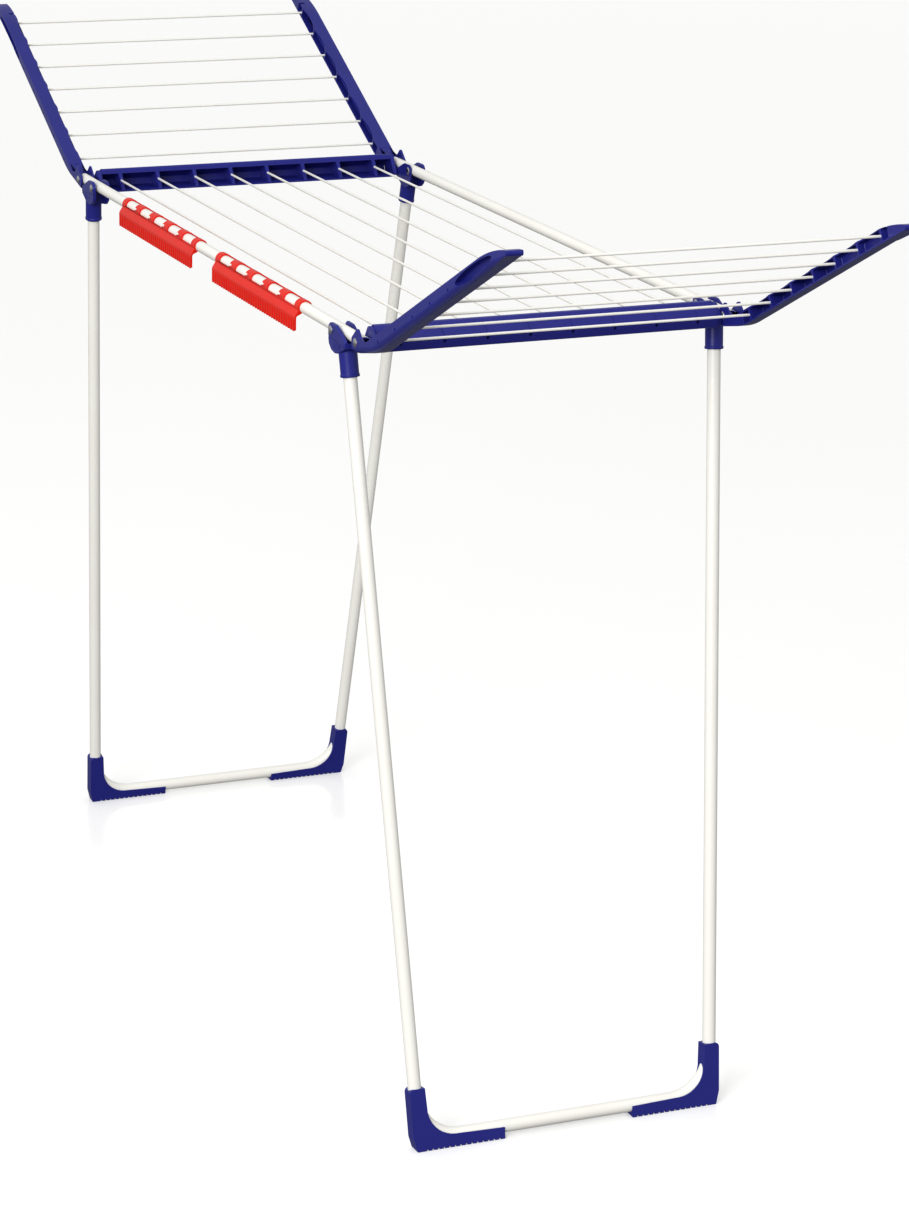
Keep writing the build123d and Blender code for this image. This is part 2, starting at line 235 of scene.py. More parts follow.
def drum(name, start, end, radius, sides=24):
    """Cylinder between two points."""
    start_clean()
    run = (Vector(end) - Vector(start)) * MM
    bpy.ops.mesh.primitive_cylinder_add(
        vertices=sides, radius=radius * MM, depth=run.length,
        location=(Vector(start) + Vector(end)) * MM / 2, rotation=run.to_track_quat("Z", "Y").to_euler())
    return settle(name)


def bevel_where(piece, test, width, segments):
    """Bevel the edges whose two ends pass a test on their place in millimetres."""
    make_active(piece)
    bpy.ops.object.mode_set(mode="EDIT")
    bpy.ops.mesh.select_mode(type="EDGE")
    bpy.ops.mesh.select_all(action="DESELECT")
    bpy.ops.object.mode_set(mode="OBJECT")
    mesh = piece.data
    for edge in mesh.edges:
        edge.select = all(test(mesh.vertices[index].co / MM) for index in edge.vertices)
    bpy.ops.object.mode_set(mode="EDIT")
    bpy.ops.mesh.bevel(offset=width * MM, segments=segments, profile=0.5, clamp_overlap=False)
    bpy.ops.mesh.select_mode(type="VERT")
    bpy.ops.object.mode_set(mode="OBJECT")
    return piece


def soften(piece, width, segments=2, angle=35):
    """Break all sharp edges of a moulded piece with a small round."""
    face_out(piece, 0.02)
    apply_modifier(piece, "BEVEL", width=width * MM, segments=segments, limit_method="ANGLE",
                   angle_limit=radians(angle), use_clamp_overlap=False)
    return piece


def shade(piece, angle=32):
    """Shade smooth up to an angle, with the flat faces kept flat."""
    make_active(piece)
    bpy.ops.object.shade_smooth_by_angle(angle=radians(angle))
    apply_modifier(piece, "WEIGHTED_NORMAL", keep_sharp=True, weight=80)
    return piece


def bow(start, through, end, steps):
    """Points of the arc through three points that share one upright plane."""
    a, b, c = Vector(start), Vector(through), Vector(end)
    normal = (b - a).cross(c - a)
    to_centre = normal.cross(b - a) * (c - a).length_squared + (c - a).cross(normal) * (b - a).length_squared
    centre = a + to_centre / (2 * normal.length_squared)
    first, last = a - centre, c - centre
    whole = first.angle(last)
    if (b - a).dot(c - a) < 0 or first.angle(b - centre) > whole:
        whole = whole - 2 * pi
    turn_axis = normal.normalized()
    return [centre + Matrix.Rotation(whole * step / steps, 3, turn_axis) @ first for step in range(steps + 1)]


def arc(centre, radius, start, end, steps, first=X_AXIS, second=Vector((0, 0, 1))):
    """Points of an arc between two angles in degrees."""
    angles = [radians(start + (end - start) * step / steps) for step in range(steps + 1)]
    return [Vector(centre) + first * (radius * cos(a)) + second * (radius * sin(a)) for a in angles]


def rounded(corners, radii, steps=5, closed=False):
    """Outline with arcs in place of its corners; a radius of 0 leaves a corner sharp."""
    corners = [Vector(corner) for corner in corners]
    if not isinstance(radii, (list, tuple)):
        radii = [radii] * len(corners)
        if not closed:
            radii[0] = radii[-1] = 0
    points = []
    for index, (corner, radius) in enumerate(zip(corners, radii)):
        if not radius:
            points.append(corner)
            continue
        before, after = corners[index - 1], corners[(index + 1) % len(corners)]
        back, ahead = (before - corner).normalized(), (after - corner).normalized()
        half = back.angle(ahead) / 2
        reach = min(radius / tan(half), (before - corner).length / 2.02, (after - corner).length / 2.02)
        hub = corner + (back + ahead).normalized() * (reach / cos(half))
        first, last = corner + back * reach - hub, corner + ahead * reach - hub
        whole = first.angle(last)
        for step in range(steps + 1):
            share = step / steps
            points.append(hub + (first * sin((1 - share) * whole) + last * sin(share * whole)) / sin(whole))
    return points


def sweep(name, route, radius, bend, wall, sides=24, bend_steps=14):
    """Tube along a route of straight runs with round bends; wall 0 gives a solid rod."""
    route = [Vector(corner) for corner in route]
    start_clean()
    run = (route[1] - route[0]) * MM
    bpy.ops.mesh.primitive_circle_add(vertices=sides, radius=radius * MM, location=route[0] * MM,
                                      rotation=run.to_track_quat("Z", "Y").to_euler())
    piece = settle(name)
    bpy.ops.object.mode_set(mode="EDIT")
    bpy.ops.mesh.select_all(action="SELECT")
    here = route[0]
    for index in range(1, len(route)):
        corner, last = route[index], index == len(route) - 1
        ahead = (corner - here).normalized()
        if last:
            bpy.ops.mesh.extrude_region_move(TRANSFORM_OT_translate={"value": (corner - here) * MM})
            break
        out = (route[index + 1] - corner).normalized()
        turn = ahead.angle(out)
        reach = bend * tan(turn / 2)
        entry = corner - ahead * reach
        bpy.ops.mesh.extrude_region_move(TRANSFORM_OT_translate={"value": (entry - here) * MM})
        axis = ahead.cross(out).normalized()
        hub = entry + axis.cross(ahead) * bend
        bpy.ops.mesh.spin(steps=bend_steps, angle=turn, center=hub * MM, axis=-axis)
        here = corner + out * reach
    if not wall:
        bpy.ops.mesh.select_all(action="SELECT")
        bpy.ops.mesh.fill_holes(sides=0)
    bpy.ops.object.mode_set(mode="OBJECT")
    face_out(piece)
    if wall:
        apply_modifier(piece, "SOLIDIFY", thickness=wall * MM, offset=-1)
    return piece


def finish_piece(piece, name, body, nodes, material):
    """Shade a piece, give it its material and body, and hide the frame nodes that it stands for."""
    shade(piece)
    piece.name = piece.data.name = name
    piece.data.materials.clear()
    piece.data.materials.append(material)
    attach(piece, body)
    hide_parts(*nodes)


def mirrored(piece, x_sign, y_sign):
    """Mirrored copy of a piece with its own mesh and its faces outwards."""
    make_active(piece)
    bpy.ops.object.duplicate(linked=False)
    copy = bpy.context.object
    copy.scale = (x_sign, y_sign, 1)
    bpy.ops.object.transform_apply(location=False, rotation=False, scale=True)
    return face_out(copy, 0.0001)


def place_corners(piece, name, body, material):
    """Mirror the near-left piece to all four corners and throw the original away."""
    for end, end_sign in ENDS.items():
        for side, side_sign in SIDES.items():
            node = f"{end}_{name}_{side}"
            copy = mirrored(piece, end_sign, -side_sign)
            finish_piece(copy, f"{node}_moulding", body.format(end=end), [node], material)
    bpy.data.objects.remove(piece)


# ---- materials ----------------------------------------------------------------------------
def linear(hex_colour):
    """Linear RGBA of an sRGB hex colour."""
    channels = [int(hex_colour[index:index + 2], 16) / 255 for index in (1, 3, 5)]
    return tuple(c / 12.92 if c <= 0.04045 else ((c + 0.055) / 1.055) ** 2.4 for c in channels) + (1.0,)


def add_node(tree, kind, inputs=None, **settings):
    """Add one node with its settings, input values and links."""
    node = tree.nodes.new(kind)
    for setting, value in settings.items():
        setattr(node, setting, value)
    for socket, value in (inputs or {}).items():
        if isinstance(value, bpy.types.NodeSocket):
            tree.links.new(value, node.inputs[socket])
        else:
            node.inputs[socket].default_value = value
    return node


def new_tree(name):
    """Node tree of a new material, with its nodes cleared."""
    material = bpy.data.materials.new(name)
    material.use_nodes = True
    material.node_tree.nodes.clear()
    return material, material.node_tree


def two_tone(tree, factor, first, second):
    """Mix of two sRGB colours by a factor socket."""
    mix = add_node(tree, "ShaderNodeMix", {"Factor": factor}, data_type="RGBA")
    mix.inputs["A"].default_value = linear(first)
    mix.inputs["B"].default_value = linear(second)
    return mix.outputs["Result"]


# sizes of the finishes' patterns on the real rack
CLOUD_MM = 45.0
RUBBED_MM = 16.0
DRIFT_MM = 110.0
RUB_MARK_MM = 1.1


def moulded_plastic(name, colour, cloud_colour, roughness, grain_mm):
    """Injection-moulded polypropylene: coloured through, with faint flow clouds, and a fine
    spark-eroded grain from the mould that breaks up its satin gloss."""
    material, tree = new_tree(name)
    coords = add_node(tree, "ShaderNodeTexCoord").outputs["Object"]
    clouds = add_node(tree, "ShaderNodeTexNoise",
                      {"Vector": coords, "Scale": 1 / (CLOUD_MM * MM), "Detail": 3.0})
    grain = add_node(tree, "ShaderNodeTexNoise",
                     {"Vector": coords, "Scale": 1 / (grain_mm * MM), "Detail": 2.0})
    rubbed = add_node(tree, "ShaderNodeTexNoise",
                      {"Vector": coords, "Scale": 1 / (RUBBED_MM * MM), "Detail": 4.0})
    gloss = add_node(tree, "ShaderNodeMapRange",
                     {"Value": rubbed.outputs["Fac"], "To Min": roughness - 0.06, "To Max": roughness + 0.08})
    bump = add_node(tree, "ShaderNodeBump",
                    {"Height": grain.outputs["Fac"], "Strength": 0.25, "Distance": 0.1 * MM})
    shader = add_node(tree, "ShaderNodeBsdfPrincipled", {
        "Base Color": two_tone(tree, clouds.outputs["Fac"], cloud_colour, colour),
        "Roughness": gloss.outputs["Result"], "Normal": bump.outputs["Normal"], "IOR": 1.49,
        "Specular IOR Level": 0.3})
    add_node(tree, "ShaderNodeOutputMaterial", {"Surface": shader.outputs["BSDF"]})
    return material


def powder_coat(name, colour, thin_colour, roughness, peel_mm):
    """Polyester powder coat baked on steel: satin, with a slight orange peel."""
    material, tree = new_tree(name)
    coords = add_node(tree, "ShaderNodeTexCoord").outputs["Object"]
    drift = add_node(tree, "ShaderNodeTexNoise",
                     {"Vector": coords, "Scale": 1 / (DRIFT_MM * MM), "Detail": 2.0})
    peel = add_node(tree, "ShaderNodeTexNoise",
                    {"Vector": coords, "Scale": 1 / (peel_mm * MM), "Detail": 1.0})
    gloss = add_node(tree, "ShaderNodeMapRange",
                     {"Value": drift.outputs["Fac"], "To Min": roughness - 0.05, "To Max": roughness + 0.05})
    bump = add_node(tree, "ShaderNodeBump",
                    {"Height": peel.outputs["Fac"], "Strength": 0.15, "Distance": 0.1 * MM})
    shader = add_node(tree, "ShaderNodeBsdfPrincipled", {
        "Base Color": two_tone(tree, drift.outputs["Fac"], thin_colour, colour),
        "Roughness": gloss.outputs["Result"], "Normal": bump.outputs["Normal"], "IOR": 1.5})
    add_node(tree, "ShaderNodeOutputMaterial", {"Surface": shader.outputs["BSDF"]})
    return material


def plated_steel(name, colour, dull_colour):
    """Zinc-plated steel of a formed rivet head: bright, with fine rubbed marks."""
    material, tree = new_tree(name)
    coords = add_node(tree, "ShaderNodeTexCoord").outputs["Object"]
    marks = add_node(tree, "ShaderNodeTexNoise",
                     {"Vector": coords, "Scale": 1 / (RUB_MARK_MM * MM), "Detail": 3.0})
    gloss = add_node(tree, "ShaderNodeMapRange",
                     {"Value": marks.outputs["Fac"], "To Min": 0.16, "To Max": 0.36})
    bump = add_node(tree, "ShaderNodeBump",
                    {"Height": marks.outputs["Fac"], "Strength": 0.2, "Distance": 0.05 * MM})
    shader = add_node(tree, "ShaderNodeBsdfPrincipled", {
        "Base Color": two_tone(tree, marks.outputs["Fac"], dull_colour, colour), "Metallic": 1.0,
        "Roughness": gloss.outputs["Result"], "Normal": bump.outputs["Normal"]})
    add_node(tree, "ShaderNodeOutputMaterial", {"Surface": shader.outputs["BSDF"]})
    return material


def finish(kind):
    """Material of one of the rack's finishes, made at its first use."""
    look = bpy.context.scene.rack_colours
    makers = {
        "navy_polypropylene_grained": (moulded_plastic, look.navy, look.navy_cloud, 0.3, 0.8),
        "red_polypropylene_satin": (moulded_plastic, look.red, look.red_cloud, 0.36, 0.8),
        "cream_powder_coat_satin": (powder_coat, look.cream, look.cream_thin, 0.34, 1.4),
        "white_wire_coat_satin": (powder_coat, look.wire, look.wire_thin, 0.32, 0.9),
        "zinc_plated_steel_formed": (plated_steel, look.steel, look.steel_dull),
    }
    maker, *settings = makers[kind]
    return bpy.data.materials.get(kind) or maker(kind, *settings)


# ---- what a user may change ---------------------------------------------------------------
def colour_prop(name, description, default):
    """Text property that holds an sRGB hex colour."""
    return bpy.props.StringProperty(name=name, description=description, default=default)


def length_prop(name, description, default):
    """Length property whose default is given in millimetres."""
    return bpy.props.FloatProperty(name=name, description=description, default=default * MM,
                                   unit="LENGTH", precision=4, min=0.0)


class RackColours(bpy.types.PropertyGroup):
    """Colours of the rack's finishes, as sRGB hex values."""
    navy: colour_prop("Navy", "Navy plastic", "#2C2F84")
    navy_cloud: colour_prop("Navy Cloud", "Flow clouds in the navy plastic", "#272A78")
    red: colour_prop("Red", "Red plastic", "#DE2510")
    red_cloud: colour_prop("Red Cloud", "Flow clouds in the red plastic", "#CF1F0C")
    cream: colour_prop("Cream", "Powder coat of the tubes", "#EEEDE7")
    cream_thin: colour_prop("Cream Thin", "Thinner patches of the powder coat", "#E8E6DF")
    wire: colour_prop("Wire", "Coat of the drying wires", "#EDECE6")
    wire_thin: colour_prop("Wire Thin", "Thinner patches of the wires' coat", "#E6E4DD")
    steel: colour_prop("Rivet Steel", "Plated steel of the rivets", "#CFCFD2")
    steel_dull: colour_prop("Rivet Steel Dull", "Rubbed patches on the rivets", "#A9A9AE")
    floor: colour_prop("Floor", "Studio floor", "#D8D8D6")


class RackSizes(bpy.types.PropertyGroup):
    """Sizes of the details that the frame leaves open."""
    arm_round: length_prop("Arm Rounding", "Round along the arms' lower outer edge", 9.0)
    scallop: length_prop("Scallop", "Depth of the bites in the arms' upper flange", 3.0)
    soft_edge: length_prop("Soft Edge", "Round on the edges of the mouldings", 0.5)
    lip: length_prop("Lip", "How far the sleeves' lips stand proud", 0.6)
    comb_rib: length_prop("Comb Rib", "Height of the upright ribs on the holders", 1.1)
    comb_ribs: bpy.props.IntProperty(name="Comb Ribs", description="Upright ribs on each small-item holder",
                                     default=36, min=10, max=60)


class RackStage(bpy.types.PropertyGroup):
    """Camera and light of the studio."""
    azimuth: bpy.props.FloatProperty(
        name="Azimuth", description="Direction of view, turned from +Y towards -X",
        default=radians(66.9), subtype="ANGLE")
    elevation: bpy.props.FloatProperty(
        name="Elevation", description="Angle that the camera looks down by",
        default=radians(16.981), subtype="ANGLE")
    roll: bpy.props.FloatProperty(
        name="Roll", description="Turn of the camera about its line of view",
        default=radians(1.2), subtype="ANGLE")
    place: bpy.props.FloatVectorProperty(
        name="Camera", description="Place of the camera",
        default=(4.8148, -1.9286, 2.1128), subtype="TRANSLATION")
    lens: bpy.props.FloatProperty(
        name="Lens", description="Focal length on a 36 mm sensor", default=109.45, unit="CAMERA")
    surround: bpy.props.FloatProperty(
        name="Surround", description="Brightness of the white surround", default=0.6, min=0.0)
    softbox: bpy.props.FloatProperty(
        name="Softbox", description="Power of the large softbox beside the camera",
        default=240.0, unit="POWER", min=0.0)


def size(name):
    """One of the user's sizes, in millimetres."""
    return getattr(bpy.context.scene.rack_sizes, name) / MM


# ---- tubes and wires ----------------------------------------------------------------------
TUBE_WALL = 0.8
LEG_BEND = 62.0
MOUTH = Vector((547.0, -260.0, 1015.0))
SOCKET = 32.0
# the foot's corner stands out from the sleeve's mouth and in towards the middle
FOOT_OUT = 166.0
FOOT_IN = 46.0
FOOT_Z = 13.0
FOOT_CORNER = Vector((MOUTH.x + FOOT_OUT, MOUTH.y + FOOT_IN, FOOT_Z))
LEG_UP = (MOUTH - FOOT_CORNER).normalized()


def across(point):
    """The same point on the rack's right side."""
    return Vector((point.x, -point.y, point.z))


def leg_route(reach):
    """Route of the near leg's tube, whose ends go past the sleeves' mouths by a reach."""
    top = MOUTH + LEG_UP * reach
    return [top, FOOT_CORNER, across(FOOT_CORNER), across(top)]


class RACK_OT_leg_tubes(bpy.types.Operator):
    """Bend the two U-shaped leg tubes"""
    bl_idname = "rack.leg_tubes"
    bl_label = "Leg Tubes"

    def execute(self, context):
        route = leg_route(SOCKET - 0.3)
        tube = sweep("leg_tube", route, FOOT_R, LEG_BEND, TUBE_WALL, sides=32, bend_steps=18)
        for end, sign in ENDS.items():
            finish_piece(mirrored(tube, sign, 1), f"{end}_leg_tube_bent", f"{end}_leg", [f"{end}_leg_tube"],
                         finish("cream_powder_coat_satin"))
        bpy.data.objects.remove(tube)
        return {"FINISHED"}


class RACK_OT_rails(bpy.types.Operator):
    """Make the two side rails and the plugs that close their ends"""
    bl_idname = "rack.rails"
    bl_label = "Side Rails"

    def execute(self, context):
        plug = [(0, 0.9), (3.4, 0.9), (4.1, 1.6), (RAIL_R - 1.1, 1.6), (RAIL_R - 0.5, 1.0),
                (RAIL_R - 0.5, 0.0), (RAIL_R - TUBE_WALL, 0.0), (RAIL_R - TUBE_WALL, -1.4), (0, -1.4)]
        plugs = []
        for side, sign in SIDES.items():
            start = Vector((RAIL_LOW.x, sign * RAIL_Y, RAIL_Z))
            end = Vector((RAIL_HIGH.x, sign * RAIL_Y, RAIL_Z))
            rail = sweep("rail", [start, end], RAIL_R, 0, TUBE_WALL, sides=32)
            finish_piece(rail, f"side_rail_{side}_tube", "frame", [f"side_rail_{side}"],
                         finish("cream_powder_coat_satin"))
            plugs += [lathe("plug", plug, start, -X_AXIS), lathe("plug", plug, end, X_AXIS)]
        finish_piece(join("plugs", *plugs), "rail_end_caps", "frame", ["rail_end_plugs"],
                     finish("navy_polypropylene_grained"))
        return {"FINISHED"}


def wire(name, body, node):
    """Coated wire with rounded ends, in the place of a straight wire of the frame."""
    low, high = node_box(node)
    middle, half = (low + high) / 2, (high - low) / 2
    long_way = X_AXIS if half.x > half.y else Y_AXIS
    reach, radius = max(half), min(half)
    nose = [(radius * cos(angle), reach - radius * (1 - sin(angle))) for angle in map(radians, (0, 30, 60))]
    nose.append((0, reach))
    outline = [(r, -h) for r, h in reversed(nose)] + nose
    piece = lathe(name, outline, middle, long_way, sides=14)
    finish_piece(piece, name, body, [node], finish("white_wire_coat_satin"))


class RACK_OT_wires(bpy.types.Operator):
    """Make the eight main wires and the seven wires of each wing"""
    bl_idname = "rack.wires"
    bl_label = "Drying Wires"

    def execute(self, context):
        for number in range(1, 9):
            wire(f"main_wire_{number}_rod", "frame", f"main_wire_{number}")
        for end in ENDS:
            for number in range(1, WING_WIRES + 1):
                wire(f"{end}_wing_wire_{number}_rod", f"{end}_wing", f"{end}_wing_wire_{number}")
        return {"FINISHED"}


# ---- wing arms ----------------------------------------------------------------------------
ARM_TOP = 10.5
ARM_BOTTOM = -9.0
ARM_WALL = 2.6
ARM_TIP = 431.0
ARM_BASE_R = 14.0
ARM_RIB = 5.0
POCKETS_START = -20.0
POCKETS_END = 388.0
GRIP = (270.0, 388.0)
GRIP_DEPTH = 10.0
GRIP_HALF = 7.0
GRIP_ABOVE = 1.0
CROWN_END = 375.0
BASE_SLOPE = radians(12.4)


def arm_bottom(y):
    """Lower edge of the near arm from its base to its tip, with a smooth elbow."""
    slope = Vector((cos(BASE_SLOPE), 0, sin(BASE_SLOPE)))
    base = Vector((WING_PIVOT.x, y, WING_PIVOT.z)) + Vector((slope.z, 0, -slope.x)) * ARM_BASE_R
    gap = wing(0, ARM_BOTTOM, y) - base
    reach = (gap.x * ALONG.z - gap.z * ALONG.x) / sin(TILT - BASE_SLOPE)
    return rounded([base, base + slope * reach, wing(ARM_TIP - 6, ARM_BOTTOM, y)], 140, steps=10)


def arm_outline(y):
    """Side outline of the near arm."""
    pivot = Vector((WING_PIVOT.x, y, WING_PIVOT.z))
    shoulder = wing(ARM_TIP - 4, -1.5, y)
    tip = bow(wing(ARM_TIP - 6, ARM_BOTTOM, y), wing(ARM_TIP, -5, y), shoulder, 6)[1:]
    taper = bow(shoulder, wing(390, 7, y), wing(346, ARM_TOP, y), 12)[1:]
    neck = wing(-44, ARM_TOP, y)
    notch, ear, ear_back = (pivot + Vector(step) for step in ((18, 0, 9), (6, 0, 20.5), (-13.0, 0, 5)))
    ears = rounded([neck, notch, ear, ear_back], [0, 3, 5, 0], steps=5)
    base = arc(pivot, ARM_BASE_R, 163, 280, 10)
    return arm_bottom(y) + tip + taper + ears + base


class RACK_OT_wing_arms(bpy.types.Operator):
    """Mould the four wing arms with their pockets, finger recess and clevis"""
    bl_idname = "rack.wing_arms"
    bl_label = "Wing Arms"

    def execute(self, context):
        arm = solid("arm", arm_outline(-ARM_IN), (0, ARM_IN - ARM_OUT, 0))
        # the lower outer edge is a large round that fades out over the outer face
        round_r = size("arm_round")
        edge = Vector((0, -ARM_OUT, 0))
        start = arm_bottom(0)[0] - Vector((cos(BASE_SLOPE), 0, sin(BASE_SLOPE))) * 30
        curve = arc(edge + Vector((0, round_r, round_r)), round_r, 270, 180, 8, Y_AXIS)
        profile = [edge + Vector((0, -3, -3)), edge + Vector((0, round_r, -3))]
        profile += curve + [edge + Vector((0, -3, round_r))]
        path = [start] + arm_bottom(0)[:-1]
        path += [wing(CROWN_END, ARM_BOTTOM), wing(ARM_TIP + 20, ARM_BOTTOM - round_r)]
        steps = [there - here for here, there in zip(path, path[1:])]
        rounding = solid("rounding", [start + corner for corner in profile], *steps)
        # room for the rail's end between the two cheeks
        web = -(ARM_OUT - ARM_WALL - 0.3)
        slot = [(560, -ARM_IN - ARM_WALL, 1058.9), (594, -ARM_IN - ARM_WALL, 1058.9),
                (602, -ARM_IN - ARM_WALL, 1064), (608, -ARM_IN - ARM_WALL, 1069),
                (640, -ARM_IN - ARM_WALL, 1085.2), (640, -ARM_IN - ARM_WALL, 1110),
                (560, -ARM_IN - ARM_WALL, 1110)]
        clevis = solid("clevis", rounded(slot, [0, 3, 3, 3, 0, 0, 0], closed=True),
                       (0, web + ARM_IN + ARM_WALL, 0))
        combine(arm, rounding, clevis)
        self.pockets(arm, web)
        self.grip(arm)
        for number in range(5):
            place = wing(number * WING_PITCH, 0, -ARM_OUT)
            combine(arm, drum("dot", place - Y_AXIS, place + Y_AXIS * 4.2, 2.0, sides=16))
        combine(arm, drum("rivet_hole", WING_PIVOT - Y_AXIS * 300, WING_PIVOT, 3.06))
        soften(arm, size("soft_edge"))
        place_corners(arm, "wing_arm", "{end}_wing", finish("navy_polypropylene_grained"))
        return {"FINISHED"}

    def pockets(self, arm, web):
        """Hollow the inner side between the ribs, and bite the upper flange between the wires."""
        wires = [number * WING_PITCH for number in range(WING_WIRES)]
        ends = [POCKETS_START] + wires + [POCKETS_END]
        middle = (ARM_TOP + ARM_BOTTOM) / 2
        height = ARM_TOP - ARM_BOTTOM - 2 * ARM_WALL
        for first, last in zip(ends, ends[1:]):
            start = first + (ARM_RIB / 2 if first >= 0 else 0)
            end = last - (ARM_RIB / 2 if last in wires else 0)
            floor = web if end <= GRIP[0] else -(ARM_OUT - GRIP_DEPTH - ARM_WALL)
            depth = -floor - ARM_IN
            pocket = block("pocket", wing((start + end) / 2, middle, floor + (depth + 3) / 2),
                           (end - start, depth + 3, height), TILT)
            bevel_where(pocket, lambda place: place.y < -ARM_IN - 1, 1.2, 2)
            combine(arm, pocket)
        bite = size("scallop")
        for first, last in zip(wires, wires[1:]):
            half = (last - first - ARM_RIB) / 2
            radius = (half ** 2 + bite ** 2) / (2 * bite)
            hub = wing((first + last) / 2, 0, radius - bite - ARM_IN)
            under, over = hub + ABOVE * (ARM_TOP - ARM_WALL - 1), hub + ABOVE * (ARM_TOP + 2)
            combine(arm, drum("bite", under, over, radius, 120))

    def grip(self, arm):
        """Scoop the finger recess out of the outer face."""
        half = (GRIP[1] - GRIP[0]) / 2
        hub = wing((GRIP[0] + GRIP[1]) / 2, GRIP_ABOVE, -ARM_OUT - 1)
        oval = [hub + ALONG * (half * cos(radians(a))) + ABOVE * (GRIP_HALF * sin(radians(a)))
                for a in range(0, 360, 8)]
        scoop = solid("scoop", oval, (0, GRIP_DEPTH + 1, 0))
        bevel_where(scoop, lambda place: place.y > -ARM_OUT + GRIP_DEPTH - 1, 4.5, 5)
        combine(arm, scoop)


# ---- crossbars and their brackets ---------------------------------------------------------
HOOD = [(567.0, 1080.0), (569.0, 1088.0), (576.0, 1087.0), (597.0, 1068.0), (593.0, 1055.0), (548.0, 1055.0)]
RIB_SIDE = [(567.5, 1082.0), (571.0, 1086.0), (577.0, 1084.5), (594.5, 1068.5), (591.5, 1056.5),
            (550.0, 1056.5), (561.0, 1072.0)]
HOOD_WALL = 2.4
CROSS_RIB = 6.0
BRACKET_PLATE = 6.2
SADDLE_X = 566.9
SADDLE_SIZE = (5, 22.4, 13)


def upright(outline, y):
    """Outline of x and z values, as points at one y."""
    return [Vector((x, y, z)) for x, z in outline]


class RACK_OT_crossbars(bpy.types.Operator):
    """Mould the two hood-shaped crossbars"""
    bl_idname = "rack.crossbars"
    bl_label = "Crossbars"

    def execute(self, context):
        length = 2 * BAR_END
        outline = rounded(upright(HOOD, -BAR_END), [0, 3.2, 3.2, 4.5, 3, 0], steps=5)
        hood = draw("hood", outline, filled=False)
        make_active(hood)
        bpy.ops.object.mode_set(mode="EDIT")
        bpy.ops.mesh.select_all(action="SELECT")
        bpy.ops.mesh.extrude_region_move(TRANSFORM_OT_translate={"value": Y_AXIS * length * MM})
        bpy.ops.object.mode_set(mode="OBJECT")
        apply_modifier(hood, "SOLIDIFY", thickness=HOOD_WALL * MM, offset=-1)
        if max(vertex.co.x for vertex in hood.data.vertices) / MM > HOOD[3][0] + 0.5:
            raise RuntimeError("the hood's wall grew outwards")
        wires = [node_centre(f"main_wire_{number}").y for number in range(1, 9)]
        rib_outline = rounded(upright(RIB_SIDE, 0), [0, 1.5, 1.5, 2, 1.5, 0, 0], steps=3)
        for y in wires:
            corners = [point + Y_AXIS * (y - CROSS_RIB / 2) for point in rib_outline]
            combine(hood, solid("rib", corners, (0, CROSS_RIB, 0)), operation="UNION")
        slope = Vector((HOOD[3][0] - HOOD[2][0], 0, HOOD[3][1] - HOOD[2][1]))
        middle = Vector((HOOD[2][0] + HOOD[3][0], 0, HOOD[2][1] + HOOD[3][1])) / 2
        for y in wires:
            place = Vector((HOOD[3][0], y, RAIL_Z - 5))
            combine(hood, drum("dot", place - X_AXIS * 6, place + X_AXIS * 3, 2.2, sides=16))
            slit = block("slit", middle + Y_AXIS * y, (slope.length - 7, 1.2, 1.6), atan2(slope.z, slope.x))
            combine(hood, slit)
        soften(hood, size("soft_edge"))
        for end, sign in ENDS.items():
            finish_piece(mirrored(hood, sign, 1), f"crossbar_{end}_moulding", "frame", [f"crossbar_{end}"],
                         finish("navy_polypropylene_grained"))
        bpy.data.objects.remove(hood)
        return {"FINISHED"}


class RACK_OT_brackets(bpy.types.Operator):
    """Mould the brackets that close the crossbars and carry the rails"""
    bl_idname = "rack.brackets"
    bl_label = "Corner Brackets"

    def execute(self, context):
        plate = rounded(upright(RIB_SIDE, -BAR_END), [2, 1.5, 1.5, 3, 3, 2, 2], steps=3, closed=True)
        bracket = solid("bracket", plate, (0, -BRACKET_PLATE, 0))
        saddle = block("saddle", (SADDLE_X, -BAR_END - 15, RAIL_Z - 7.5), SADDLE_SIZE)
        combine(bracket, saddle, operation="UNION")
        rail = Vector((SADDLE_X, -RAIL_Y, RAIL_Z))
        rail_room = drum("rail_room", rail - X_AXIS * 20, rail + X_AXIS * 20, RAIL_R + 0.03, sides=48)
        combine(bracket, rail_room)
        soften(bracket, size("soft_edge"))
        place_corners(bracket, "corner_bracket", "frame", finish("navy_polypropylene_grained"))
        return {"FINISHED"}


# ---- legs' mouldings ----------------------------------------------------------------------
HEAD_IN = 247.8
HEAD_CHEEK = 2.7
SLEEVE_R = 12.2
SLEEVE_LENGTH = 40.0


